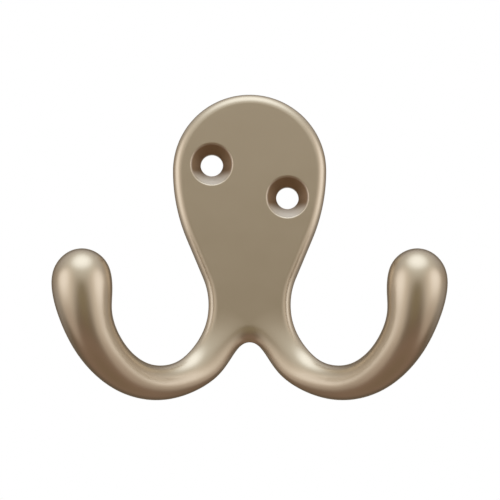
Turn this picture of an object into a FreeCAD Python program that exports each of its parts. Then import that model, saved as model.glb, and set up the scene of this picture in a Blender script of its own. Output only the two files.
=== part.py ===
"""Double robe hook, cast in one piece.

A flat pear-shaped back plate narrows to a waist and parts into two round arms. Each arm
drops, turns outward and forward, rises again and thickens into a round end.

Frame, in millimetres: x to the right, z up, y into the wall. The back of the plate is y = 0
and the front faces -y. The origin lies midway between the two screw holes, on the wall.
"""

import FreeCAD, Part
import math
import os

Vec = FreeCAD.Vector

# Back plate: outline of tangent arcs, from the head down to the waist
PLATE_THICKNESS = 4.0
HEAD_RISE = 16.75          # top of the plate above the middle of the screw pair
HEAD_RADIUS = 14.7
SHOULDER_RADIUS = 33.5
FLANK_ANGLE = 22.8         # slope of the straight flanks, from upright
WAIST_RADIUS = 13.5
WAIST_WIDTH = 15.7
FRONT_EDGE_RADIUS = 1.9
BACK_EDGE_RADIUS = 0.3

# Two countersunk holes for No. 8 flat-head screws, set on a slant
SCREW_HOLE_DIAMETER = 4.3
SCREW_HEAD_DIAMETER = 8.1
COUNTERSINK_ANGLE = 90.0
SCREW_SPREAD = 14.5        # between the hole axes, sideways
SCREW_STAGGER = 6.3        # between the hole axes, upright: the left hole is higher
HOLE_RIM_RADIUS = 0.4

# Crotch, where the plate parts into the two arms
CROTCH_DROP = 7.15          # top of the crotch below the waist
CROTCH_NOSE = 3.3          # height over which the plate's lower edge rounds off
CROTCH_FULLNESS = 0.75     # how far the crotch runs level before it turns down the arm
ROOT_FULLNESS = 1.1        # how far the flanks run straight down before they turn outward

# Middle line of an arm: root at the waist, bend at the lowest point, tip at the round end
ROOT_OUT = 4.3             # from the middle of the hook
BEND_OUT = 17.65
BEND_FORWARD = 7.6         # from the wall
BEND_DROP = 15.1           # below the waist
TIP_OUT = 31.1
TIP_FORWARD = 20.0
TIP_RISE = 18.25           # above the bend
TIP_LEAN_ANGLE = 8.0       # of the round end, back towards the wall from upright
LEAVING_POWER = 3          # how late the arm leaves the plane of the plate on its way to the bend

# Section of an arm
ARM_DIAMETER = 6.2
ROOT_WIDTH = 7.1           # across the arm where it has just left the plate
ROOT_DEPTH = 4.8           # front to back there
TIP_DIAMETER = 11.25
TIP_DOME = 6.15            # height of the dome that closes the round end
SWELL_START_ANGLE = 55.0   # place on the middle line where the arm begins to thicken

# Places of the sections on the middle line, as angles turned through from the root
BEND_ANGLE = 90.0
TIP_ANGLE = 180.0
SECTION_ANGLES = (47.0, 68.5, BEND_ANGLE, 112.5, 135.0, 157.5, TIP_ANGLE)
DOME_ANGLES = (30.0, 60.0, 90.0)

# A section is a closed ring of equal steps, joined by cubic curves
RING_STEPS = 9
RING_STEP = 360.0 / RING_STEPS
RING_START = -RING_STEP / 2
QUARTER_HANDLE = 4.0 / 3.0 * (math.sqrt(2.0) - 1.0)   # of a cubic that stands for a quarter circle
CLOSE_ANGLE = 0.01         # between two places that give the arm's direction
JOIN_TOLERANCE = 1e-6

# Sizes that follow from those above
WAIST_OUT = WAIST_WIDTH / 2
FRONT = -PLATE_THICKNESS
HEAD_Z = HEAD_RISE - HEAD_RADIUS
FLANK = math.radians(FLANK_ANGLE)
FLANK_LENGTH = (
    HEAD_RADIUS - WAIST_OUT - (SHOULDER_RADIUS + WAIST_RADIUS) * (1 - math.cos(FLANK))
) / math.sin(FLANK)
WAIST_Z = (
    HEAD_Z
    - (SHOULDER_RADIUS + WAIST_RADIUS) * math.sin(FLANK)
    - FLANK_LENGTH * math.cos(FLANK)
)
CROTCH_Z = WAIST_Z - CROTCH_DROP
NOSE_Z = CROTCH_Z + CROTCH_NOSE
BEND_Z = WAIST_Z - BEND_DROP
TIP_Z = BEND_Z + TIP_RISE
ROOT_FORWARD = PLATE_THICKNESS / 2


def curve(start, start_handle, end_handle, end):
    """A cubic edge from start to end, drawn towards its two handles."""
    line = Part.BezierCurve()
    line.setPoles([start, start_handle, end_handle, end])
    return line.toShape()


def mirrored(shape):
    """The same shape on the other side of the hook."""
    return shape.mirror(Vec(0, 0, 0), Vec(1, 0, 0))


def rim_profile():
    """Edges of the plate's rim, cut across at the waist: back edge, wall, front edge."""
    back = BACK_EDGE_RADIUS * QUARTER_HANDLE
    front = FRONT_EDGE_RADIUS * QUARTER_HANDLE
    inner_back = Vec(WAIST_OUT - BACK_EDGE_RADIUS, 0, WAIST_Z)
    outer_back = Vec(WAIST_OUT, -BACK_EDGE_RADIUS, WAIST_Z)
    outer_front = Vec(WAIST_OUT, FRONT + FRONT_EDGE_RADIUS, WAIST_Z)
    inner_front = Vec(WAIST_OUT - FRONT_EDGE_RADIUS, FRONT, WAIST_Z)
    return [
        curve(inner_back, inner_back + Vec(back, 0, 0), outer_back + Vec(0, back, 0), outer_back),
        Part.LineSegment(outer_back, outer_front).toShape(),
        curve(outer_front, outer_front - Vec(0, front, 0), inner_front + Vec(front, 0, 0), inner_front),
    ]


def swept_up_outline(shapes):
    """Sweep shapes from the waist up the right side of the outline to the top of the head.

    The outline is a waist arc, a straight flank, a shoulder arc and a quarter of the head.
    """
    across = Vec(0, 1, 0)
    waist_centre = Vec(WAIST_OUT + WAIST_RADIUS, 0, WAIST_Z)
    flank = Vec(math.sin(FLANK), 0, math.cos(FLANK)) * FLANK_LENGTH
    shoulder_centre = Vec(HEAD_RADIUS - SHOULDER_RADIUS, 0, HEAD_Z)
    head_centre = Vec(0, 0, HEAD_Z)
    swept = []
    for shape in shapes:
        swept.append(shape.revolve(waist_centre, across, FLANK_ANGLE))
        place = shape.copy()
        place.rotate(waist_centre, across, FLANK_ANGLE)
        swept.append(place.extrude(flank))
        place.translate(flank)
        swept.append(place.revolve(shoulder_centre, across, -FLANK_ANGLE))
        place.rotate(shoulder_centre, across, -FLANK_ANGLE)
        swept.append(place.revolve(head_centre, across, -90))
    return swept


def flat_face(inset, level, corner):
    """The plate's flat front or back: the outline inside the rim, closed below by the arms' corners."""
    start = Part.Vertex(WAIST_OUT - inset, level, WAIST_Z)
    right = swept_up_outline([start]) + [corner]
    edges = right + [mirrored(edge) for edge in right]
    return Part.Face(Part.Wire(Part.__sortEdges__(edges)))


def root_ring():
    """Points and speeds of the ring where an arm's skin leaves the plate.

    It follows the waist's rim, the corners of the two flat faces, and the rounded lower edge
    of the plate on the hook's middle plane, so both arms meet there without a crease.
    """
    nose_depth = PLATE_THICKNESS / 2
    back_speed = 3 * BACK_EDGE_RADIUS * QUARTER_HANDLE
    front_speed = 3 * FRONT_EDGE_RADIUS * QUARTER_HANDLE
    points = [
        Vec(WAIST_OUT, -BACK_EDGE_RADIUS, WAIST_Z),
        Vec(WAIST_OUT, FRONT + FRONT_EDGE_RADIUS, WAIST_Z),
        Vec(WAIST_OUT - FRONT_EDGE_RADIUS, FRONT, WAIST_Z),
    ]
    speeds = [Vec(0, -back_speed, 0), Vec(0, -front_speed, 0), Vec(-front_speed, 0, 0)]
    for eighth in range(5):
        turn = math.radians(45 * eighth)
        points.append(Vec(0, -nose_depth * (1 + math.cos(turn)), NOSE_Z - CROTCH_NOSE * math.sin(turn)))
        direction = Vec(0, nose_depth * math.sin(turn), -CROTCH_NOSE * math.cos(turn))
        speeds.append(direction * math.radians(45))
    points.append(Vec(WAIST_OUT - BACK_EDGE_RADIUS, 0, WAIST_Z))
    speeds.append(Vec(back_speed, 0, 0))
    return points, speeds


def arm_middle(place):
    """Point on the middle line of the right arm: two quarter ellipses seen from the front."""
    turn = math.radians(place)
    steps = place / BEND_ANGLE
    drop = math.sin(turn)
    if place <= BEND_ANGLE:
        out = ROOT_OUT + (BEND_OUT - ROOT_OUT) * (1 - math.cos(turn))
        forward = ROOT_FORWARD + (BEND_FORWARD - ROOT_FORWARD) * steps ** LEAVING_POWER
        return Vec(out, -forward, WAIST_Z - BEND_DROP * drop)
    out = BEND_OUT - (TIP_OUT - BEND_OUT) * math.cos(turn)
    rest = steps - 1
    bend_slope = LEAVING_POWER * (BEND_FORWARD - ROOT_FORWARD)
    tip_slope = -TIP_RISE * math.radians(BEND_ANGLE) * math.tan(math.radians(TIP_LEAN_ANGLE))
    forward = (
        BEND_FORWARD * (2 * rest ** 3 - 3 * rest ** 2 + 1)
        + bend_slope * (rest ** 3 - 2 * rest ** 2 + rest)
        + TIP_FORWARD * (3 * rest ** 2 - 2 * rest ** 3)
        + tip_slope * (rest ** 3 - rest ** 2)
    )
    return Vec(out, -forward, TIP_Z - TIP_RISE * drop)


def arm_axes(place):
    """Directions on the right arm: along it, to the inside of its bend, and to its front."""
    along = arm_middle(min(place + CLOSE_ANGLE, TIP_ANGLE)) - arm_middle(place - CLOSE_ANGLE)
    along.normalize()
    front = Vec(0, -1, 0)
    front = front - along * front.dot(along)
    front.normalize()
    return along, front.cross(along), front


def arm_radii(place):
    """Half width and half depth of an arm's section: flat at the root, round from the bend on."""
    if place < BEND_ANGLE:
        first = SECTION_ANGLES[0]
        part = (place - first) / (BEND_ANGLE - first)
        ease = part * (2 - part)
        width = ROOT_WIDTH + (ARM_DIAMETER - ROOT_WIDTH) * ease
        depth = ROOT_DEPTH + (ARM_DIAMETER - ROOT_DEPTH) * ease
    else:
        width = ARM_DIAMETER
        depth = ARM_DIAMETER
    swell = max(0.0, (place - SWELL_START_ANGLE) / (TIP_ANGLE - SWELL_START_ANGLE)) ** 2
    extra = (TIP_DIAMETER - ARM_DIAMETER) * swell
    return (width + extra) / 2, (depth + extra) / 2


def ring(centre, inside, front, half_width, half_depth):
    """Points and speeds of an oval section."""
    points = []
    speeds = []
    step = math.radians(RING_STEP)
    for count in range(RING_STEPS):
        turn = math.radians(RING_START) + step * count
        points.append(
            centre + inside * (half_width * math.cos(turn)) + front * (half_depth * math.sin(turn))
        )
        speed = front * (half_depth * math.cos(turn)) - inside * (half_width * math.sin(turn))
        speeds.append(speed * step)
    return points, speeds


def arm_rings():
    """All sections of the right arm in order, the root first and the top of the dome last."""
    rings = [root_ring()]
    for place in SECTION_ANGLES:
        along, inside, front = arm_axes(place)
        rings.append(ring(arm_middle(place), inside, front, *arm_radii(place)))
    along, inside, front = arm_axes(TIP_ANGLE)
    half_width, half_depth = arm_radii(TIP_ANGLE)
    for angle in DOME_ANGLES:
        turn = math.radians(angle)
        centre = arm_middle(TIP_ANGLE) + along * (TIP_DOME * math.sin(turn))
        shrink = math.cos(turn)
        rings.append(ring(centre, inside, front, half_width * shrink, half_depth * shrink))
    return rings


def ring_poles(points, speeds):
    """Poles of the closed ring: each point followed by a handle after it and one before the next."""
    poles = []
    for count in range(RING_STEPS):
        following = (count + 1) % RING_STEPS
        poles.append(points[count])
        poles.append(points[count] + speeds[count] / 3)
        poles.append(points[following] - speeds[following] / 3)
    return poles


def ring_spacing(rings):
    """Running length along the arm's skin at each ring, averaged round it."""
    lengths = [0.0]
    for before, after in zip(rings, rings[1:]):
        gaps = [a.distanceToPoint(b) for a, b in zip(before[0], after[0])]
        lengths.append(lengths[-1] + sum(gaps) / len(gaps))
    return lengths


def smooth_slopes(points, lengths, first, last):
    """Slopes at points that join cubic stretches with no change of curvature between them."""
    slopes = [first] + [Vec(0, 0, 0)] * (len(points) - 2) + [last]
    carried = [0.0] * len(points)
    for here in range(1, len(points) - 1):
        before = lengths[here] - lengths[here - 1]
        after = lengths[here + 1] - lengths[here]
        rise = (points[here] - points[here - 1]) * (3 * after / before)
        rise = rise + (points[here + 1] - points[here]) * (3 * before / after)
        if here == len(points) - 2:
            rise = rise - last * before
        pivot = 2 * (before + after) - after * carried[here - 1]
        carried[here] = before / pivot
        slopes[here] = (rise - slopes[here - 1] * after) / pivot
    for here in range(len(points) - 3, 0, -1):
        slopes[here] = slopes[here] - slopes[here + 1] * carried[here]
    return slopes


def root_direction(pole):
    """Way the skin leaves the plate: level off the middle plane, straight down off the waist."""
    if pole.x < ROOT_OUT / 2:
        return Vec(CROTCH_FULLNESS, 0, 0)
    return Vec(0, 0, -ROOT_FULLNESS)


def arm_columns(rings, lengths):
    """Poles of the arm's skin: one column along the arm for each pole round the ring."""
    rows = [ring_poles(*section) for section in rings]
    dome_base = rows[-1 - len(DOME_ANGLES)]
    base_centre = arm_middle(TIP_ANGLE)
    reach = TIP_DIAMETER / 2
    columns = []
    for count, start in enumerate(rows[0]):
        points = [row[count] for row in rows]
        inward = (base_centre - dome_base[count]) / reach
        slopes = smooth_slopes(points, lengths, root_direction(start), inward)
        column = [points[0]]
        for here in range(len(points) - 1):
            third = (lengths[here + 1] - lengths[here]) / 3
            column.append(points[here] + slopes[here] * third)
            column.append(points[here + 1] - slopes[here + 1] * third)
            column.append(points[here + 1])
        columns.append(column)
    return columns


def arm_skin(columns, lengths, first, last):
    """The stretch of the arm's skin between two points of the ring, as one smooth face."""
    count = 3 * RING_STEPS
    poles = [columns[number % count] for number in range(3 * first, 3 * last + 1)]
    surface = Part.BSplineSurface()
    surface.buildFromPolesMultsKnots(
        poles,
        [4] + [3] * (last - first - 1) + [4],
        [4] + [3] * (len(lengths) - 2) + [4],
        [float(knot) for knot in range(last - first + 1)],
        lengths,
        False,
        False,
        3,
        3,
    )
    for knot in range(2, last - first + 1):
        surface.removeUKnot(knot, 2, JOIN_TOLERANCE)
    for knot in range(2, len(lengths)):
        surface.removeVKnot(knot, 1, JOIN_TOLERANCE)
    return surface.toShape()


def arm_faces():
    """Skin of the right arm, split where its root meets the rim, the flat faces and the other arm."""
    rings = arm_rings()
    lengths = ring_spacing(rings)
    columns = arm_columns(rings, lengths)
    spans = ((-1, 2), (2, 3), (3, 7), (7, 8))
    return [arm_skin(columns, lengths, first, last) for first, last in spans]


def corner_edges():
    """Edges in the flat front and back where the arm's skin begins, from the rim to the nose."""
    poles = ring_poles(*root_ring())
    return curve(*poles[6:10]), curve(*poles[21:25])


def screw_hole(x, z):
    """Tool for one hole: a bore, a cone for the screw's head and a softened rim."""
    half_angle = math.radians(COUNTERSINK_ANGLE / 2)
    bore = SCREW_HOLE_DIAMETER / 2
    mouth = SCREW_HEAD_DIAMETER / 2
    cone_depth = (mouth - bore) / math.tan(half_angle)
    turn = math.radians(90) - half_angle
    setback = HOLE_RIM_RADIUS * math.tan(turn / 2)
    cone_end = Vec(mouth - setback * math.sin(half_angle), FRONT + setback * math.cos(half_angle), 0)
    flat_end = Vec(mouth + setback, FRONT, 0)
    centre = Vec(flat_end.x, FRONT + HOLE_RIM_RADIUS, 0)
    middle = centre + Vec(-math.sin(turn / 2), -math.cos(turn / 2), 0) * HOLE_RIM_RADIUS
    outline = [
        Vec(0, PLATE_THICKNESS, 0),
        Vec(bore, PLATE_THICKNESS, 0),
        Vec(bore, FRONT + cone_depth, 0),
        cone_end,
    ]
    edges = [Part.LineSegment(a, b).toShape() for a, b in zip(outline, outline[1:])]
    edges.append(Part.Arc(cone_end, middle, flat_end).toShape())
    lid = [flat_end, Vec(flat_end.x, 2 * FRONT, 0), Vec(0, 2 * FRONT, 0), outline[0]]
    edges += [Part.LineSegment(a, b).toShape() for a, b in zip(lid, lid[1:])]
    tool = Part.Face(Part.Wire(edges)).revolve(Vec(0, 0, 0), Vec(0, 1, 0), 360)
    tool.translate(Vec(x, 0, z))
    return tool


def casting():
    """The whole hook as one solid."""
    front_corner, back_corner = corner_edges()
    right = swept_up_outline(rim_profile()) + arm_faces()
    faces = right + [mirrored(face) for face in right]
    faces.append(flat_face(FRONT_EDGE_RADIUS, FRONT, front_corner))
    faces.append(flat_face(BACK_EDGE_RADIUS, 0, back_corner))
    shell = Part.makeShell([face for shape in faces for face in shape.Faces])
    body = Part.makeSolid(shell)
    if body.Volume < 0:
        body.reverse()
    holes = [
        screw_hole(-SCREW_SPREAD / 2, SCREW_STAGGER / 2),
        screw_hole(SCREW_SPREAD / 2, -SCREW_STAGGER / 2),
    ]
    return body.cut(holes)


def main():
    os.makedirs("parts", exist_ok=True)
    hook = casting()
    hook.exportStep("parts/hook_casting.step")
    box = hook.BoundBox
    print("valid", hook.isValid(), "solids", len(hook.Solids), "faces", len(hook.Faces))
    print("volume mm3", round(hook.Volume, 1))
    print("box mm", [round(size, 2) for size in (box.XLength, box.YLength, box.ZLength)])


main()
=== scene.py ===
"""Looks of the double robe hook: one plated casting, its finish, its studio and its camera.

Frame, in metres: x to the right, z up, y into the wall. The back of the plate is y = 0 and the
front faces -y. Sizes are written in millimetres and turned into metres where a mesh is made.
"""

import logging
import math
from dataclasses import dataclass, field
from enum import Enum

import bmesh
import bpy
import numpy as np
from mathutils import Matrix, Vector, kdtree
from mathutils.geometry import delaunay_2d_cdt


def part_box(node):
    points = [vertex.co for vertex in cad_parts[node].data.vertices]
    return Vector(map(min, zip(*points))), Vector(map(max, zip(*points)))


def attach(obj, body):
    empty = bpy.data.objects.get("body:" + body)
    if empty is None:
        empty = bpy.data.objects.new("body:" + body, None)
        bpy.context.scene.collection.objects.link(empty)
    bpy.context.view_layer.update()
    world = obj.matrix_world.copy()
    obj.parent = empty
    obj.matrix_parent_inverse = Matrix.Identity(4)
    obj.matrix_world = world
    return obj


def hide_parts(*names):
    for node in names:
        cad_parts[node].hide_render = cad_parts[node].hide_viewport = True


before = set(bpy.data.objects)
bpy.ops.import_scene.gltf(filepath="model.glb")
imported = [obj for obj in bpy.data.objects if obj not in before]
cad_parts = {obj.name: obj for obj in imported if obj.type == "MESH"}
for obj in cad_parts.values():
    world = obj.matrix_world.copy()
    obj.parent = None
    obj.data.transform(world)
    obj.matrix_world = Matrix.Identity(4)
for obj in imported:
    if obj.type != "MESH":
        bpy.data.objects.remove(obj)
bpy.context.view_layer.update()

MM = 0.001
ROW = "hook_casting"
SLOT = "satin_nickel"

BEND = 90.0
TIP = 180.0
QUARTER_TURN = math.pi / 2
SHORTEST = 1e-12
FILL_INSIDE = 1
FILL_DISTANCE = 1e-6

ACROSS = np.array([1.0, 0.0, 0.0])
BACKWARD = np.array([0.0, 1.0, 0.0])
UPWARD = np.array([0.0, 0.0, 1.0])
MIRROR = np.array([-1.0, 1.0, 1.0])

Colour = tuple[float, float, float]
Grid = tuple[np.ndarray, np.ndarray]
Feed = bpy.types.NodeSocket | float | Vector | np.ndarray | tuple[float, ...]

log = logging.getLogger("robe_hook")


class Level(Enum):
    """The plate's two flat faces."""

    FRONT = -1.0
    BACK = 1.0


def opaque(colour: Colour) -> tuple[float, ...]:
    """The colour with full cover."""
    return (*colour, 1.0)


def direction(azimuth: float, elevation: float) -> Vector:
    """Direction away from the hook.

    Args:
        azimuth: degrees round from its front.
        elevation: degrees up from level.

    Returns:
        A vector of length one.
    """
    turn, rise = math.radians(azimuth), math.radians(elevation)
    level = math.cos(rise)
    return Vector((math.sin(turn) * level, -math.cos(turn) * level, math.sin(rise)))


def arc_handle(turn: float) -> float:
    """Handle length, over the radius, of the cubic that stands for an arc of this turn."""
    return 4.0 / 3.0 * math.tan(turn / 4.0)


def unit(vectors: np.ndarray) -> np.ndarray:
    """Vectors of length one along the last axis."""
    length = np.linalg.norm(vectors, axis=-1, keepdims=True)
    return vectors / np.maximum(length, SHORTEST)


def bernstein(steps: np.ndarray) -> Grid:
    """Weights of a cubic's four poles.

    Args:
        steps: places on the cubic, from 0 to 1.

    Returns:
        The weights and the weights of its slope, one row for each place.
    """
    t, s = steps, 1.0 - steps
    weights = np.stack([s**3, 3 * s * s * t, 3 * s * t * t, t**3], axis=1)
    slopes = [-3 * s * s, 3 * s * s - 6 * s * t, 6 * s * t - 3 * t * t, 3 * t * t]
    return weights, np.stack(slopes, axis=1)


@dataclass
class Skin:
    """Patches of a surface, welded where they meet into one mesh with exact shading normals."""

    weld_distance: float = 0.002 * MM
    points: list[np.ndarray] = field(default_factory=list)
    normals: list[np.ndarray] = field(default_factory=list)
    faces: list[tuple[int, ...]] = field(default_factory=list)
    count: int = 0

    def add(self, points: np.ndarray, normals: np.ndarray, faces: list[tuple[int, ...]]) -> None:
        """Add one patch, its faces turned to the side that its normals point to.

        Args:
            points: corners in millimetres, one row each.
            normals: shading normal at each corner.
            faces: corner numbers of each face.
        """
        first = self.count
        for face in faces:
            corners = points[list(face)]
            spread = np.cross(corners[2] - corners[0], corners[-1] - corners[1])
            outward = float(spread @ normals[list(face)].sum(axis=0))
            turned = face if outward >= 0 else face[::-1]
            self.faces.append(tuple(first + corner for corner in turned))
        self.points.append(points * MM)
        self.normals.append(normals)
        self.count += len(points)

    def add_grid(self, points: np.ndarray, normals: np.ndarray) -> None:
        """Add a patch whose corners lie in rows and columns.

        Args:
            points: corners in millimetres, in an array of rows, columns and 3.
            normals: shading normals in an array of the same shape.
        """
        rows, columns = points.shape[:2]
        faces = []
        for row in range(rows - 1):
            for column in range(columns - 1):
                corner = row * columns + column
                faces.append((corner, corner + 1, corner + columns + 1, corner + columns))
        self.add(points.reshape(-1, 3), normals.reshape(-1, 3), faces)

    def add_both_sides(self, points: np.ndarray, normals: np.ndarray) -> None:
        """Add a grid on the right of the hook and its mirror image on the left."""
        self.add_grid(points, normals)
        self.add_grid(points * MIRROR, normals * MIRROR)

    def welded(self, points: np.ndarray) -> Grid:
        """Bring corners that meet together.

        Args:
            points: all the corners, in metres.

        Returns:
            The corners kept, and the number of the kept corner for each of the given ones.
        """
        tree = kdtree.KDTree(len(points))
        for number, point in enumerate(points):
            tree.insert(point, number)
        tree.balance()
        chosen = np.full(len(points), -1)
        kept = []
        for number, point in enumerate(points):
            if chosen[number] < 0:
                for _, near, _ in tree.find_range(point, self.weld_distance):
                    if chosen[near] < 0:
                        chosen[near] = len(kept)
                kept.append(point)
        return np.array(kept), chosen

    def build(self, name: str) -> bpy.types.Object:
        """Make the mesh object.

        Args:
            name: name of the object and its mesh.

        Returns:
            The new object, linked to the scene.
        """
        points, chosen = self.welded(np.concatenate(self.points))
        normals = unit(np.concatenate(self.normals))
        faces = []
        corner_normals = []
        for face in self.faces:
            corners = []
            for corner in face:
                if chosen[corner] not in [kept for kept, _ in corners]:
                    corners.append((int(chosen[corner]), corner))
            if len(corners) > 2:
                faces.append([kept for kept, _ in corners])
                corner_normals.extend(normals[corner] for _, corner in corners)
        mesh = bpy.data.meshes.new(name)
        mesh.from_pydata([tuple(point) for point in points], [], faces)
        mesh.polygons.foreach_set("use_smooth", [True] * len(mesh.polygons))
        mesh.normals_split_custom_set([tuple(normal) for normal in corner_normals])
        mesh.update()
        piece = bpy.data.objects.new(name, mesh)
        bpy.context.scene.collection.objects.link(piece)
        return piece


@dataclass
class Countersink:
    """A hole for a flat-head wood screw, sunk from the plate's front. Sizes in millimetres."""

    plate_thickness: float
    out: float
    rise: float
    bore_diameter: float = 4.3
    head_diameter: float = 8.1
    head_angle: float = 90.0
    rim_radius: float = 0.4
    segments: int = 96
    rim_steps: int = 5
    wall_steps: int = 4

    @property
    def half_angle(self) -> float:
        """Angle between the cone's wall and the hole's axis, in radians."""
        return math.radians(self.head_angle / 2)

    @property
    def rim_turn(self) -> float:
        """Angle that the softened rim turns through, in radians."""
        return QUARTER_TURN - self.half_angle

    @property
    def flat_radius(self) -> float:
        """Radius at which the rim meets the flat front."""
        return self.head_diameter / 2 + self.rim_radius * math.tan(self.rim_turn / 2)

    @property
    def cone_depth(self) -> float:
        """Depth of the cone below the plate's front."""
        return (self.head_diameter - self.bore_diameter) / 2 / math.tan(self.half_angle)

    def radius_at(self, level: Level) -> float:
        """Radius of the hole where it meets one of the flat faces."""
        return self.flat_radius if level is Level.FRONT else self.bore_diameter / 2

    def mouth(self, level: Level, y: float) -> np.ndarray:
        """Closed circle where the hole meets one of the flat faces."""
        return self.circle(self.radius_at(level), y)

    def holds(self, point: np.ndarray, level: Level) -> bool:
        """Whether a point of a flat face lies within the circle's straight sides."""
        off = math.hypot(point[0] - self.out, point[2] - self.rise)
        return off < self.radius_at(level) * math.cos(math.pi / self.segments)

    def circle(self, radius: float, y: float) -> np.ndarray:
        """Closed circle round the hole's axis.

        Args:
            radius: radius of the circle.
            y: its level, from the wall.

        Returns:
            Points round the hole, the first repeated at the end.
        """
        turn = np.linspace(0.0, 2 * math.pi, self.segments + 1)
        turn[-1] = 0.0
        out = self.out + radius * np.cos(turn)
        rise = self.rise + radius * np.sin(turn)
        return np.stack([out, np.full_like(turn, y), rise], axis=1)

    def swept(
        self, radii: np.ndarray, levels: np.ndarray, facing: list[tuple[float, float]]
    ) -> Grid:
        """Turn a profile round the hole's axis.

        Args:
            radii: radius of each point of the profile.
            levels: y of each point.
            facing: normal of each point as (away from the axis, along y).

        Returns:
            Grids of points and normals.
        """
        points = np.stack([self.circle(radius, level) for radius, level in zip(radii, levels)])
        away = self.circle(1.0, 0.0) - (ACROSS * self.out + UPWARD * self.rise)
        normals = np.stack([away * radial + BACKWARD * along for radial, along in facing])
        return points, normals

    def add_to(self, skin: Skin) -> None:
        """Add the softened rim, the cone for the screw's head and the bore to the skin.

        Args:
            skin: the skin that takes them.
        """
        front = -self.plate_thickness
        bore = self.bore_diameter / 2
        sin, cos = math.sin(self.half_angle), math.cos(self.half_angle)
        turns = np.linspace(0.0, self.rim_turn, self.rim_steps)
        radii = self.flat_radius - self.rim_radius * np.sin(turns)
        levels = front + self.rim_radius * (1 - np.cos(turns))
        rim_facing = [(-math.sin(turn), -math.cos(turn)) for turn in turns]
        skin.add_grid(*self.swept(radii, levels, rim_facing))
        setback = self.rim_radius * math.tan(self.rim_turn / 2)
        top = self.head_diameter / 2 - setback * sin
        top_level, foot_level = front + setback * cos, front + self.cone_depth
        steps = np.linspace(0.0, 1.0, self.wall_steps)
        radii = top + (bore - top) * steps
        levels = top_level + (foot_level - top_level) * steps
        skin.add_grid(*self.swept(radii, levels, [(-cos, -sin)] * self.wall_steps))
        radii, levels = np.full_like(steps, bore), foot_level * (1 - steps)
        skin.add_grid(*self.swept(radii, levels, [(-1.0, 0.0)] * self.wall_steps))


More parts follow.
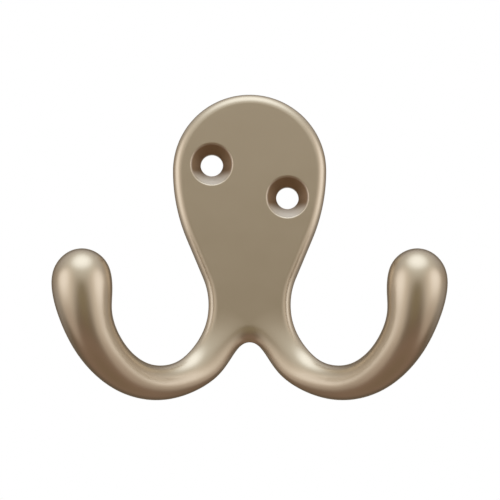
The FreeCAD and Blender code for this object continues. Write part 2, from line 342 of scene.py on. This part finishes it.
@dataclass
class BackPlate:
    """The pear-shaped plate, from its head down to the waist. Sizes in millimetres."""

    thickness: float = 4.0
    head_rise: float = 16.75
    head_radius: float = 14.7
    shoulder_radius: float = 33.5
    flank_angle: float = 22.8
    waist_radius: float = 13.5
    waist_width: float = 15.7
    front_edge_radius: float = 1.9
    back_edge_radius: float = 0.3
    screw_spread: float = 14.5
    screw_stagger: float = 6.3
    waist_steps: int = 14
    flank_steps: int = 6
    shoulder_steps: int = 20
    head_steps: int = 40
    edge_steps: int = 10

    @property
    def waist_out(self) -> float:
        """Half the waist's width."""
        return self.waist_width / 2

    @property
    def flank(self) -> float:
        """Slope of the straight flanks, in radians from upright."""
        return math.radians(self.flank_angle)

    @property
    def head_z(self) -> float:
        """Height of the head's centre."""
        return self.head_rise - self.head_radius

    @property
    def flank_length(self) -> float:
        """Length of a straight flank."""
        inward = (self.shoulder_radius + self.waist_radius) * (1 - math.cos(self.flank))
        return (self.head_radius - self.waist_out - inward) / math.sin(self.flank)

    @property
    def waist_z(self) -> float:
        """Height of the waist."""
        drop = (self.shoulder_radius + self.waist_radius) * math.sin(self.flank)
        return self.head_z - drop - self.flank_length * math.cos(self.flank)

    def outline(self) -> Grid:
        """Right side of the outline, from the waist up to the top of the head.

        Returns:
            Points in the wall's plane and the outward direction at each.
        """
        flank_away = np.array([math.cos(self.flank), 0.0, -math.sin(self.flank)])
        flank_along = np.array([math.sin(self.flank), 0.0, math.cos(self.flank)])
        waist_centre = np.array([self.waist_out + self.waist_radius, 0.0, self.waist_z])
        shoulder_centre = np.array([self.head_radius - self.shoulder_radius, 0.0, self.head_z])
        away = self.fan(0.0, -self.flank, self.waist_steps)[:-1]
        stretches = [(waist_centre - away * self.waist_radius, away)]
        steps = np.linspace(0.0, self.flank_length, self.flank_steps + 1)[:-1, None]
        flank_start = waist_centre - flank_away * self.waist_radius
        away = np.tile(flank_away, (self.flank_steps, 1))
        stretches.append((flank_start + flank_along * steps, away))
        away = self.fan(-self.flank, 0.0, self.shoulder_steps)[:-1]
        stretches.append((shoulder_centre + away * self.shoulder_radius, away))
        away = self.fan(0.0, QUARTER_TURN, self.head_steps)
        away[-1, 0] = 0.0
        stretches.append((UPWARD * self.head_z + away * self.head_radius, away))
        points = np.concatenate([points for points, _ in stretches])
        return points, np.concatenate([away for _, away in stretches])

    def fan(self, start: float, end: float, steps: int) -> np.ndarray:
        """Directions in the wall's plane between two turns, in radians up from +x."""
        turn = np.linspace(start, end, steps + 1)
        return np.stack([np.cos(turn), 0 * turn, np.sin(turn)], axis=1)

    def rim_grid(self) -> Grid:
        """The right side's rim: back edge, wall and front edge swept up the outline.

        Returns:
            Grids of points and normals, one row for each place on the outline.
        """
        points, away = self.outline()
        back, front = self.back_edge_radius, self.front_edge_radius
        edges = ((back, -back, Level.BACK), (front, front - self.thickness, Level.FRONT))
        columns = []
        normals = []
        for radius, start, level in edges:
            side = level.value
            handle = arc_handle(QUARTER_TURN) * radius
            insets = [0.0, 0.0, handle - radius, -radius]
            rises = [0.0, side * handle, side * radius, side * radius]
            poles = np.stack([insets, rises], axis=1)
            steps = np.linspace(0.0, 1.0, self.edge_steps + 1)
            weights, slopes = bernstein(steps[::-1] if level is Level.BACK else steps)
            for (inset, rise), (slide, climb) in zip(weights @ poles, slopes @ poles):
                outward, along = unit(np.array([climb * side, -slide * side]))
                columns.append(points + away * inset + BACKWARD * (start + rise))
                normals.append(away * abs(outward) + BACKWARD * along)
        return np.stack(columns, axis=1), np.stack(normals, axis=1)

    def screw_holes(self) -> list[Countersink]:
        """The two countersunk holes, the left one higher."""
        out, rise = self.screw_spread / 2, self.screw_stagger / 2
        return [Countersink(self.thickness, -out, rise), Countersink(self.thickness, out, -rise)]

    def flat(self, level: Level, corner: np.ndarray) -> tuple[np.ndarray, np.ndarray, list]:
        """One flat face, with its two holes left open.

        Args:
            level: which of the two faces.
            corner: points where the right arm's skin leaves the face, from the rim to the middle.

        Returns:
            Points, normals and faces of the patch.
        """
        grid, _ = self.rim_grid()
        right = grid[:, -1] if level is Level.FRONT else grid[:, 0]
        y = right[0, 1]
        left, left_corner = right * MIRROR, corner * MIRROR
        edge = np.concatenate([right[:-1], left[:0:-1], left_corner[:-1], corner[:0:-1]])
        loops = [edge] + [hole.mouth(level, y)[:-1] for hole in self.screw_holes()]
        corners: list[Vector] = []
        edges = []
        for ring in loops:
            first = len(corners)
            corners += [Vector((point[0], point[2])) for point in ring]
            edges += [(first + n, first + (n + 1) % len(ring)) for n in range(len(ring))]
        placed, _, faces, *_ = delaunay_2d_cdt(corners, edges, [], FILL_INSIDE, FILL_DISTANCE)
        points = np.array([[point.x, y, point.y] for point in placed])
        normals = np.tile(BACKWARD * level.value, (len(points), 1))
        kept = [tuple(face) for face in faces if self.on_metal(points[list(face)], level)]
        return points, normals, kept

    def on_metal(self, corners: np.ndarray, level: Level) -> bool:
        """Whether a triangle of a flat face lies outside both holes."""
        middle = corners.mean(axis=0)
        return not any(hole.holds(middle, level) for hole in self.screw_holes())


@dataclass
class HookArm:
    """One arm, from the plate's waist to its round end. Sizes in millimetres.

    Places along the arm go by angle, from 0 at the root by way of the bend to the tip. Every ring
    of the skin has the same number of stretches. In the root's ring, front_stretch and
    back_stretch are the two that cross the plate's flat faces.
    """

    plate: BackPlate = field(default_factory=BackPlate)
    crotch_drop: float = 7.15
    crotch_nose: float = 3.3
    crotch_fullness: float = 0.75
    root_fullness: float = 1.1
    root_out: float = 4.3
    bend_out: float = 17.65
    bend_forward: float = 7.6
    bend_drop: float = 15.1
    tip_out: float = 31.1
    tip_forward: float = 20.0
    tip_rise: float = 18.25
    tip_lean: float = 8.0
    leaving_power: int = 3
    diameter: float = 6.2
    root_width: float = 7.1
    root_depth: float = 4.8
    tip_diameter: float = 11.25
    tip_dome: float = 6.15
    swell_start: float = 55.0
    sections: tuple[float, ...] = (47.0, 68.5, BEND, 112.5, 135.0, 157.5, TIP)
    dome_angles: tuple[float, ...] = (30.0, 60.0, 90.0)
    nose_points: int = 5
    ring_points: int = 9
    ring_steps: int = 9
    front_stretch: int = 2
    back_stretch: int = 7
    step_along: float = 0.42
    fewest_steps: int = 4
    probe: float = 0.01

    def middle(self, place: float) -> np.ndarray:
        """Point on the middle line: two quarter ellipses seen from the front.

        Args:
            place: 0 at the root, 90 at the bend, 180 at the tip.

        Returns:
            The point.
        """
        turn = math.radians(place)
        root_forward = self.plate.thickness / 2
        climb = self.bend_forward - root_forward
        if place <= BEND:
            out = self.root_out + (self.bend_out - self.root_out) * (1 - math.cos(turn))
            forward = root_forward + climb * (place / BEND) ** self.leaving_power
            return np.array([out, -forward, self.plate.waist_z - self.bend_drop * math.sin(turn)])
        out = self.bend_out - (self.tip_out - self.bend_out) * math.cos(turn)
        rest = place / BEND - 1
        tip_slope = -self.tip_rise * QUARTER_TURN * math.tan(math.radians(self.tip_lean))
        forward = (
            self.bend_forward * (2 * rest**3 - 3 * rest**2 + 1)
            + self.leaving_power * climb * (rest**3 - 2 * rest**2 + rest)
            + self.tip_forward * (3 * rest**2 - 2 * rest**3)
            + tip_slope * (rest**3 - rest**2)
        )
        tip_z = self.plate.waist_z - self.bend_drop + self.tip_rise
        return np.array([out, -forward, tip_z - self.tip_rise * math.sin(turn)])

    def axes(self, place: float) -> tuple[np.ndarray, np.ndarray, np.ndarray]:
        """Directions at a place.

        Args:
            place: 0 at the root, 90 at the bend, 180 at the tip.

        Returns:
            Along the arm, to the inside of its bend, and to its front.
        """
        along = unit(self.middle(min(place + self.probe, TIP)) - self.middle(place - self.probe))
        front = unit(-BACKWARD + along * along[1])
        return along, np.cross(front, along), front

    def radii(self, place: float) -> tuple[float, float]:
        """Size of the section at a place.

        Args:
            place: 0 at the root, 90 at the bend, 180 at the tip.

        Returns:
            Half its width and half its depth.
        """
        width, depth = self.diameter, self.diameter
        if place < BEND:
            part = (place - self.sections[0]) / (BEND - self.sections[0])
            ease = part * (2 - part)
            width = self.root_width + (self.diameter - self.root_width) * ease
            depth = self.root_depth + (self.diameter - self.root_depth) * ease
        swell = max(0.0, (place - self.swell_start) / (TIP - self.swell_start)) ** 2
        extra = (self.tip_diameter - self.diameter) * swell
        return (width + extra) / 2, (depth + extra) / 2

    def oval(
        self, centre: np.ndarray, inside: np.ndarray, front: np.ndarray, wide: float, deep: float
    ) -> Grid:
        """One oval section.

        Args:
            centre: its middle.
            inside: direction to the inside of the arm's bend.
            front: direction to the arm's front.
            wide: half its width.
            deep: half its depth.

        Returns:
            Points round it and the speed at each.
        """
        step = 2 * math.pi / self.ring_points
        turn = (np.arange(self.ring_points) - 0.5) * step
        cos, sin = np.cos(turn)[:, None], np.sin(turn)[:, None]
        points = centre + inside * wide * cos + front * deep * sin
        return points, (front * deep * cos - inside * wide * sin) * step

    def root(self) -> Grid:
        """Ring where the skin leaves the plate: half the waist's section and the crotch's nose.

        Returns:
            Points round it and the speed at each.
        """
        plate = self.plate
        out, waist, face = plate.waist_out, plate.waist_z, -plate.thickness
        back, front = plate.back_edge_radius, plate.front_edge_radius
        pace = 3 * arc_handle(QUARTER_TURN)
        nose_z = waist - self.crotch_drop + self.crotch_nose
        deep = plate.thickness / 2
        step = math.pi / (self.nose_points - 1)
        points = [(out, -back, waist), (out, face + front, waist), (out - front, face, waist)]
        speeds = [(0, -back * pace, 0), (0, -front * pace, 0), (-front * pace, 0, 0)]
        for turn in np.linspace(0.0, math.pi, self.nose_points):
            fall, swing = self.crotch_nose * math.sin(turn), self.crotch_nose * math.cos(turn)
            points.append((0, -deep * (1 + math.cos(turn)), nose_z - fall))
            speeds.append((0, deep * math.sin(turn) * step, -swing * step))
        points.append((out - back, 0, waist))
        speeds.append((back * pace, 0, 0))
        return np.array(points, dtype=float), np.array(speeds, dtype=float)

    def poles(self, points: np.ndarray, speeds: np.ndarray) -> np.ndarray:
        """Poles of a closed ring.

        Args:
            points: points round the ring.
            speeds: speed at each.

        Returns:
            Each point, a handle after it and one before the next.
        """
        following, next_speeds = np.roll(points, -1, axis=0), np.roll(speeds, -1, axis=0)
        ring = np.stack([points, points + speeds / 3, following - next_speeds / 3], axis=1)
        return ring.reshape(-1, 3)

    def rings(self) -> list[Grid]:
        """All sections of the arm.

        Returns:
            Points and speeds of each, the root first and the top of the dome last.
        """
        rings = [self.root()]
        for place in self.sections:
            _, inside, front = self.axes(place)
            rings.append(self.oval(self.middle(place), inside, front, *self.radii(place)))
        along, inside, front = self.axes(TIP)
        wide, deep = self.radii(TIP)
        for angle in self.dome_angles:
            turn = math.radians(angle)
            centre = self.middle(TIP) + along * self.tip_dome * math.sin(turn)
            shrink = math.cos(turn)
            rings.append(self.oval(centre, inside, front, wide * shrink, deep * shrink))
        return rings

    def slopes(
        self, rows: np.ndarray, gaps: np.ndarray, first: np.ndarray, last: np.ndarray
    ) -> np.ndarray:
        """Slopes that join cubic stretches with no change of curvature between them.

        Args:
            rows: poles of each ring, in an array of rings, poles and 3.
            gaps: running length between neighbouring rings.
            first: slopes at the root.
            last: slopes at the top of the dome.

        Returns:
            The slopes at every ring, in an array like rows.
        """
        count = len(rows)
        matrix = np.eye(count)
        known = np.zeros_like(rows)
        known[0], known[-1] = first, last
        for here in range(1, count - 1):
            before, after = gaps[here - 1], gaps[here]
            matrix[here, here - 1 : here + 2] = after, 2 * (before + after), before
            known[here] = (rows[here] - rows[here - 1]) * (3 * after / before)
            known[here] += (rows[here + 1] - rows[here]) * (3 * before / after)
        return np.linalg.solve(matrix, known.reshape(count, -1)).reshape(rows.shape)

    def ends(self, rows: np.ndarray) -> Grid:
        """Slopes of the skin at the root and at the top of the dome.

        Args:
            rows: poles of each ring.

        Returns:
            Level off the middle plane or straight down off the waist, and inward over the dome.
        """
        near_middle = rows[0][:, :1] < self.root_out / 2
        first = np.where(near_middle, ACROSS * self.crotch_fullness, -UPWARD * self.root_fullness)
        base = rows[-1 - len(self.dome_angles)]
        return first, (self.middle(TIP) - base) / (self.tip_diameter / 2)

    def columns(self) -> Grid:
        """Run every pole of the rings along the arm.

        Returns:
            Places of the poles and their slopes, in arrays of places along, poles and 3.
        """
        rings = self.rings()
        rows = np.stack([self.poles(*ring) for ring in rings])
        corners = np.stack([points for points, _ in rings])
        gaps = np.linalg.norm(np.diff(corners, axis=0), axis=-1).mean(axis=1)
        slopes = self.slopes(rows, gaps, *self.ends(rows))
        places = []
        speeds = []
        for here, gap in enumerate(gaps):
            steps = np.linspace(0.0, 1.0, max(self.fewest_steps, round(gap / self.step_along)) + 1)
            if here < len(gaps) - 1:
                steps = steps[:-1]
            weights, rates = bernstein(steps)
            start, end = rows[here], rows[here + 1]
            leaving, arriving = slopes[here : here + 2] * (gap / 3)
            poles = np.stack([start, start + leaving, end - arriving, end])
            places.append(np.tensordot(weights, poles, axes=1))
            speeds.append(np.tensordot(rates, poles, axes=1) / gap)
        return np.concatenate(places), np.concatenate(speeds)

    def skin_grid(self) -> Grid:
        """The whole skin of the right arm.

        Returns:
            Grids of points and normals, with a row for each place along the arm.
        """
        places, speeds = self.columns()
        weights, rates = bernstein(np.linspace(0.0, 1.0, self.ring_steps + 1)[:-1])
        around = []
        normals = []
        for number in range(self.ring_points):
            chosen = [(3 * number + pole) % (3 * self.ring_points) for pole in range(4)]
            point = np.einsum("sp,apc->asc", weights, places[:, chosen])
            along = np.einsum("sp,apc->asc", weights, speeds[:, chosen])
            across = np.einsum("sp,apc->asc", rates, places[:, chosen])
            around.append(point)
            normals.append(np.cross(across, along))
        points = np.concatenate(around + [around[0][:, :1]], axis=1)
        facing = np.concatenate(normals + [normals[0][:, :1]], axis=1)
        facing[-1] = self.axes(TIP)[0]
        return points, unit(facing)

    def corner(self, level: Level) -> np.ndarray:
        """Edge that the skin shares with one of the plate's flat faces.

        Args:
            level: which of the two faces.

        Returns:
            Its points, from the rim to the hook's middle plane.
        """
        grid, _ = self.skin_grid()
        in_front = level is Level.FRONT
        first = (self.front_stretch if in_front else self.back_stretch) * self.ring_steps
        edge = grid[0, first : first + self.ring_steps + 1]
        return edge if in_front else edge[::-1]


class Nodes:
    """The node tree of a material or of the world, with one short way to add a node."""

    def __init__(self, owner: bpy.types.Material | bpy.types.World) -> None:
        """Turn on the owner's nodes and take its tree."""
        owner.use_nodes = True
        self.tree = owner.node_tree

    def feed(self, socket: bpy.types.NodeSocket, value: Feed) -> None:
        """Link an output to an input, or write a plain value into it.

        Args:
            socket: the input.
            value: an output socket or a value.
        """
        if isinstance(value, bpy.types.NodeSocket):
            self.tree.links.new(value, socket)
        else:
            socket.default_value = value

    def node(self, kind: str, inputs: dict[str | int, Feed], **settings: str) -> bpy.types.Node:
        """Add a node.

        Args:
            kind: its type, without the word ShaderNode in front.
            inputs: what each input that doesn't stay as it is gets.
            **settings: the node's own settings, such as its operation.

        Returns:
            The node.
        """
        node = self.tree.nodes.new(f"ShaderNode{kind}")
        for name, setting in settings.items():
            setattr(node, name, setting)
        for name, value in inputs.items():
            self.feed(node.inputs[name], value)
        return node

    def add(
        self, kind: str, output: str, inputs: dict[str | int, Feed], **settings: str
    ) -> bpy.types.NodeSocket:
        """Add a node and hand on one of its outputs.

        Args:
            kind: its type, without the word ShaderNode in front.
            output: name of the output.
            inputs: what each input that doesn't stay as it is gets.
            **settings: the node's own settings.

        Returns:
            The output.
        """
        return self.node(kind, inputs, **settings).outputs[output]

    def mixed(self, share: Feed, under: Feed, over: Feed) -> bpy.types.NodeSocket:
        """Lay one colour over another.

        Args:
            share: how much of the upper one shows.
            under: the lower colour.
            over: the upper colour.

        Returns:
            The mixed colour.
        """
        inputs = {"Factor": share, "A": under, "B": over}
        return self.add("Mix", "Result", inputs, data_type="RGBA")

    def fade(self, value: Feed, start: float, end: float) -> bpy.types.NodeSocket:
        """Rise smoothly from nought to one as a value goes from start to end."""
        inputs = {"Value": value, "From Min": start, "From Max": end}
        return self.add("MapRange", "Result", inputs, interpolation_type="SMOOTHSTEP")

    def maths(self, operation: str, first: Feed, second: Feed) -> bpy.types.NodeSocket:
        """The outcome of one operation on two numbers."""
        return self.add("Math", "Value", {0: first, 1: second}, operation=operation)

    def along(self, place: Feed, way: Feed) -> bpy.types.NodeSocket:
        """How far a place lies along a direction."""
        return self.add("VectorMath", "Value", {0: place, 1: way}, operation="DOT_PRODUCT")


@dataclass(frozen=True)
class SatinNickel:
    """Satin nickel plate over a polished casting: warm grey, soft sheen, a barely visible grain.

    Each countersink carries painted light: a pale painted highlight over its cone and a dark
    brown painted shade over the cone's upper wall. The cone is also rougher than the rest.
    """

    colour: Colour = (0.68, 0.60, 0.49)
    shade: Colour = (0.64, 0.56, 0.45)
    roughness: float = 0.30
    roughness_spread: float = 0.05
    cloud_scale: float = 90.0
    cloud_detail: float = 3.0
    grain_scale: float = 2600.0
    grain_detail: float = 2.0
    grain_depth: float = 0.001 * MM
    ripple_scale: float = 160.0
    ripple_detail: float = 1.0
    ripple_depth: float = 0.03 * MM
    # The next five fields, in order: a dark painted shade colour for each countersink's upper
    # wall, a pale painted highlight colour for the rest of its cone, the cone's own roughness, and
    # the two heights, over the hole's radius, between which the painted highlight fades into the
    # painted shade.
    painted_shade_colour: Colour = (0.32, 0.22, 0.14)
    painted_highlight_colour: Colour = (0.96, 0.89, 0.80)
    recess_roughness: float = 0.46
    painted_highlight_below: float = -0.65
    painted_shade_above: float = -0.2

    def material(self, recesses: list[Countersink]) -> bpy.types.Material:
        """Make the finish.

        Args:
            recesses: the two countersinks.

        Returns:
            A procedural material.
        """
        material = bpy.data.materials.new(SLOT)
        nodes = Nodes(material)
        shader = nodes.tree.nodes["Principled BSDF"]
        place = nodes.add("TexCoord", "Object", {})
        clouds = self.noise(nodes, place, self.cloud_scale, self.cloud_detail)
        grain = self.noise(nodes, place, self.grain_scale, self.grain_detail)
        ripple = self.noise(nodes, place, self.ripple_scale, self.ripple_detail)
        cone, shaded_upper_wall = self.recessed(nodes, place, recesses)
        base = nodes.mixed(clouds, opaque(self.shade), opaque(self.colour))
        # Painted light: a pale painted highlight over each countersink's cone, then a dark painted
        # shade over its upper wall.
        base = nodes.mixed(cone, base, opaque(self.painted_highlight_colour))
        base = nodes.mixed(shaded_upper_wall, base, opaque(self.painted_shade_colour))
        smoothest = self.roughness - self.roughness_spread / 2
        roughest = self.roughness + self.roughness_spread / 2
        sheen = {"Value": grain, "To Min": smoothest, "To Max": roughest}
        rough = nodes.add("MapRange", "Result", sheen)
        duller = {"Factor": cone, "A": rough, "B": self.recess_roughness}
        rough = nodes.add("Mix", "Result", duller)
        fine = nodes.add("Bump", "Normal", {"Height": grain, "Distance": self.grain_depth})
        waves = {"Height": ripple, "Distance": self.ripple_depth, "Normal": fine}
        broad = nodes.add("Bump", "Normal", waves)
        shader.inputs["Metallic"].default_value = 1.0
        nodes.feed(shader.inputs["Base Color"], base)
        nodes.feed(shader.inputs["Roughness"], rough)
        nodes.feed(shader.inputs["Normal"], broad)
        return material

    def recessed(
        self, nodes: Nodes, place: bpy.types.NodeSocket, recesses: list[Countersink]
    ) -> tuple[bpy.types.NodeSocket, bpy.types.NodeSocket]:
        """Find the countersinks.

        Args:
            nodes: node tree of the material.
            place: where on the object it is read.
            recesses: the two countersinks.

        Returns:
            Two masks, each nought outside: one of the cones, for the painted highlight and the
                rougher finish, and one of their upper walls alone, for the painted shade.
        """
        cones, shaded_upper_walls = [], []
        for hole in recesses:
            axis = Vector((hole.out, 0.0, hole.rise)) * MM
            away = nodes.add("VectorMath", "Vector", {0: place, 1: axis}, operation="SUBTRACT")
            in_wall_plane = {0: away, 1: ACROSS + UPWARD}
            flat = nodes.add("VectorMath", "Vector", in_wall_plane, operation="MULTIPLY")
            reach = nodes.add("VectorMath", "Value", {0: flat}, operation="LENGTH")
            flat_radius = hole.flat_radius * MM
            cone_radius = (hole.head_diameter / 2 - hole.rim_radius) * MM
            foot = (hole.plate_thickness - hole.cone_depth) * MM
            sunk = nodes.fade(reach, flat_radius, cone_radius)
            in_front = nodes.fade(nodes.along(away, -BACKWARD), 0.0, foot)
            rise = nodes.along(away, UPWARD)
            # Upper-wall mask, for the painted shade.
            upper = nodes.fade(rise, self.painted_highlight_below * flat_radius, self.painted_shade_above * flat_radius)
            cones.append(nodes.maths("MULTIPLY", sunk, in_front))
            shaded_upper_walls.append(nodes.maths("MULTIPLY", cones[-1], upper))
        return nodes.maths("MAXIMUM", *cones), nodes.maths("MAXIMUM", *shaded_upper_walls)

    def noise(
        self, nodes: Nodes, place: bpy.types.NodeSocket, scale: float, detail: float
    ) -> bpy.types.NodeSocket:
        """A noise pattern laid through the metal.

        Args:
            nodes: node tree of the material.
            place: where on the object the pattern is read.
            scale: cells per metre.
            detail: octaves of the pattern.

        Returns:
            The socket that carries its value.
        """
        return nodes.add("TexNoise", "Fac", {"Vector": place, "Scale": scale, "Detail": detail})


@dataclass
class Casting:
    """The whole hook: the plate and its two arms grown together in one piece."""

    plate: BackPlate = field(default_factory=BackPlate)
    arm: HookArm = field(default_factory=HookArm)
    finish: SatinNickel = field(default_factory=SatinNickel)

    def build(self) -> bpy.types.Object:
        """Make the casting's mesh and dress it.

        Returns:
            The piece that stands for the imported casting.
        """
        skin = Skin()
        skin.add_both_sides(*self.plate.rim_grid())
        skin.add_both_sides(*self.arm.skin_grid())
        for level in Level:
            skin.add(*self.plate.flat(level, self.arm.corner(level)))
        holes = self.plate.screw_holes()
        for hole in holes:
            hole.add_to(skin)
        piece = skin.build("plated_casting")
        piece.data.materials.append(self.finish.material(holes))
        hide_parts(ROW)
        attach(piece, "root")
        return piece


@dataclass(frozen=True)
class Patch:
    """A round patch of the tent with a colour of its own. Angles in degrees."""

    azimuth: float
    elevation: float
    inner: float
    outer: float
    colour: Colour


@dataclass
class Tent:
    """A studio tent that shows only in reflections. Its colours go by the angle up from level.

    It is lit from above and from both sides, and dark at the lens opening in front and at the wall
    behind the hook.
    """

    radius: float = 2.5
    segments: int = 48
    rings: int = 24
    stops: tuple[tuple[float, Colour], ...] = (
        (-90.0, (0.26, 0.19, 0.13)),
        (-55.0, (0.30, 0.21, 0.16)),
        (-30.0, (0.17, 0.13, 0.09)),
        (-10.0, (0.42, 0.39, 0.36)),
        (10.0, (0.42, 0.35, 0.28)),
        (30.0, (0.45, 0.42, 0.38)),
        (55.0, (0.50, 0.47, 0.47)),
        (90.0, (0.65, 0.66, 0.68)),
    )
    patches: tuple[Patch, ...] = (
        Patch(0.0, 64.0, 15.0, 80.0, (0.73, 0.71, 0.64)),
        Patch(0.0, 70.0, 7.0, 40.0, (1.48, 1.57, 1.63)),
        Patch(-65.0, 1.0, 10.0, 48.0, (0.88, 0.80, 0.70)),
        Patch(65.0, 1.0, 10.0, 48.0, (0.88, 0.80, 0.70)),
        Patch(-73.0, -33.0, 1.0, 25.0, (0.56, 0.47, 0.40)),
        Patch(73.0, -33.0, 1.0, 25.0, (0.56, 0.47, 0.40)),
        Patch(-70.0, 8.0, 5.0, 30.0, (1.28, 1.24, 1.21)),
        Patch(70.0, 8.0, 5.0, 30.0, (1.28, 1.24, 1.21)),
        Patch(0.0, -14.0, 10.0, 28.0, (0.29, 0.24, 0.15)),
        Patch(0.0, -3.0, 3.5, 8.0, (0.09, 0.07, 0.05)),
        Patch(180.0, 0.0, 24.0, 58.0, (0.14, 0.11, 0.08)),
        Patch(180.0, 0.0, 8.0, 26.0, (0.40, 0.36, 0.30)),
    )

    def build(self, aim: Vector) -> bpy.types.Object:
        """Raise the tent round the hook.

        Args:
            aim: its middle.

        Returns:
            The tent.
        """
        mesh = bpy.data.meshes.new("tent")
        shape = bmesh.new()
        bmesh.ops.create_uvsphere(
            shape, u_segments=self.segments, v_segments=self.rings, radius=self.radius
        )
        shape.to_mesh(mesh)
        shape.free()
        mesh.materials.append(self.cloth())
        tent = bpy.data.objects.new("tent", mesh)
        tent.location = aim
        tent.visible_camera = False
        tent.visible_diffuse = False
        tent.visible_shadow = False
        tent.visible_transmission = False
        bpy.context.scene.collection.objects.link(tent)
        return tent

    def cloth(self) -> bpy.types.Material:
        """The tent's glowing cloth: a ramp of colours from foot to top, with the patches over it.

        Returns:
            A procedural material.
        """
        material = bpy.data.materials.new("tent_cloth")
        nodes = Nodes(material)
        nodes.tree.nodes.clear()
        place = nodes.add("TexCoord", "Object", {})
        rise = nodes.along(place, UPWARD)
        inputs = {"Value": rise, "From Min": -self.radius, "From Max": self.radius}
        share = nodes.add("MapRange", "Result", inputs)
        ramp = nodes.node("ValToRGB", {"Fac": share})
        elements = ramp.color_ramp.elements
        while len(elements) < len(self.stops):
            elements.new(0.5)
        for element, (elevation, shade) in zip(elements, self.stops):
            element.position = (1 + math.sin(math.radians(elevation))) / 2
            element.color = opaque(shade)
        colour = ramp.outputs["Color"]
        for patch in self.patches:
            nearness = nodes.along(place, direction(patch.azimuth, patch.elevation) / self.radius)
            inner, outer = (math.cos(math.radians(angle)) for angle in (patch.inner, patch.outer))
            colour = nodes.mixed(nodes.fade(nearness, outer, inner), colour, opaque(patch.colour))
        glow = nodes.add("Emission", "Emission", {"Color": colour})
        nodes.node("OutputMaterial", {"Surface": glow})
        return material


@dataclass
class Softbox:
    """A wide soft lamp that faces the hook."""

    name: str
    width: float
    height: float
    azimuth: float
    elevation: float
    distance: float
    watts: float

    def build(self, aim: Vector) -> bpy.types.Object:
        """Hang the lamp so that it faces the hook.

        Args:
            aim: point that it faces.

        Returns:
            The lamp.
        """
        away = direction(self.azimuth, self.elevation)
        light = bpy.data.lights.new(self.name, "AREA")
        light.shape = "RECTANGLE"
        light.size, light.size_y = self.width, self.height
        light.energy = self.watts
        lamp = bpy.data.objects.new(self.name, light)
        lamp.location = aim + away * self.distance
        lamp.rotation_euler = away.to_track_quat("Z", "Y").to_euler()
        lamp.visible_camera = False
        lamp.visible_glossy = False
        bpy.context.scene.collection.objects.link(lamp)
        return lamp


@dataclass
class Studio:
    """The pale floor, the white surroundings, the softboxes and the tent round the hook."""

    floor_drop: float = 0.11
    floor_size: float = 6.0
    floor_colour: Colour = (0.86, 0.86, 0.86)
    floor_roughness: float = 0.8
    white: Colour = (1.0, 1.0, 1.0)
    ambient: float = 0.35
    softboxes: tuple[Softbox, ...] = (
        Softbox("top_softbox", 0.9, 0.8, 0.0, 74.0, 0.9, 4.8),
        Softbox("left_softbox", 0.75, 1.3, -75.0, 0.0, 1.0, 2.6),
        Softbox("right_softbox", 0.75, 1.3, 75.0, 0.0, 1.0, 2.6),
    )
    tent: Tent = field(default_factory=Tent)

    def surroundings(self) -> None:
        """White where it is seen, mirrored or seen through glass, soft and dimmer as a light."""
        world = bpy.data.worlds.new("studio")
        bpy.context.scene.world = world
        nodes = Nodes(world)
        nodes.tree.nodes.clear()
        path = nodes.node("LightPath", {}).outputs
        mirrored = nodes.maths("MAXIMUM", path["Is Camera Ray"], path["Is Glossy Ray"])
        shown = nodes.maths("MAXIMUM", mirrored, path["Is Transmission Ray"])
        span = {"Value": shown, "To Min": self.ambient, "To Max": 1.0}
        light = {"Color": opaque(self.white), "Strength": nodes.add("MapRange", "Result", span)}
        glow = nodes.add("Background", "Background", light)
        nodes.node("OutputWorld", {"Surface": glow})

    def floor(self, low: float) -> bpy.types.Object:
        """A plain pale floor under the hook.

        Args:
            low: height of the lowest point of the hook, in metres.

        Returns:
            The floor.
        """
        half = self.floor_size / 2
        level = low - self.floor_drop
        mesh = bpy.data.meshes.new("floor")
        corners = [(x * half, y * half, level) for x, y in ((-1, -1), (1, -1), (1, 1), (-1, 1))]
        mesh.from_pydata(corners, [], [(0, 1, 2, 3)])
        material = bpy.data.materials.new("pale_floor")
        material.use_nodes = True
        shader = material.node_tree.nodes["Principled BSDF"]
        shader.inputs["Base Color"].default_value = opaque(self.floor_colour)
        shader.inputs["Roughness"].default_value = self.floor_roughness
        mesh.materials.append(material)
        floor = bpy.data.objects.new("floor", mesh)
        floor.visible_glossy = False
        bpy.context.scene.collection.objects.link(floor)
        return floor

    def build(self, aim: Vector, low: float) -> None:
        """Set up the floor, the surroundings, the lamps and the tent.

        Args:
            aim: point that the lamps face.
            low: height of the lowest point of the hook, in metres.
        """
        self.surroundings()
        self.floor(low)
        for softbox in self.softboxes:
            softbox.build(aim)
        self.tent.build(aim)


@dataclass
class Camera:
    """The photograph's view: straight from the front, a little from below."""

    aim: tuple[float, float, float] = (0.077, 0.0, -12.99)
    distance: float = 600.0
    elevation: float = -5.0
    lens: float = 225.0
    sensor: float = 36.0
    nearest: float = 0.01
    farthest: float = 20.0

    def build(self) -> bpy.types.Object:
        """Set up the camera and make it the scene's own.

        Returns:
            The camera.
        """
        data = bpy.data.cameras.new("front_camera")
        data.lens, data.sensor_width = self.lens, self.sensor
        data.clip_start, data.clip_end = self.nearest, self.farthest
        camera = bpy.data.objects.new("front_camera", data)
        away = direction(0.0, self.elevation)
        camera.location = (Vector(self.aim) + away * self.distance) * MM
        camera.rotation_euler = away.to_track_quat("Z", "Y").to_euler()
        bpy.context.scene.collection.objects.link(camera)
        bpy.context.scene.camera = camera
        return camera


def main() -> None:
    """Build the hook, its studio and its camera, in that order."""
    logging.basicConfig(level=logging.INFO, format="%(name)s: %(message)s")
    bpy.context.scene.view_settings.view_transform = "Standard"
    low, high = (Vector(corner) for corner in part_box(ROW))
    casting = Casting().build()
    log.info("%s: %d faces", casting.name, len(casting.data.polygons))
    studio = Studio()
    studio.build((low + high) / 2, low.z)
    log.info("studio: %d softboxes in a tent", len(studio.softboxes))
    camera = Camera().build()
    log.info("%s: %.0f mm lens", camera.name, camera.data.lens)


if __name__ == "__main__":
    main()
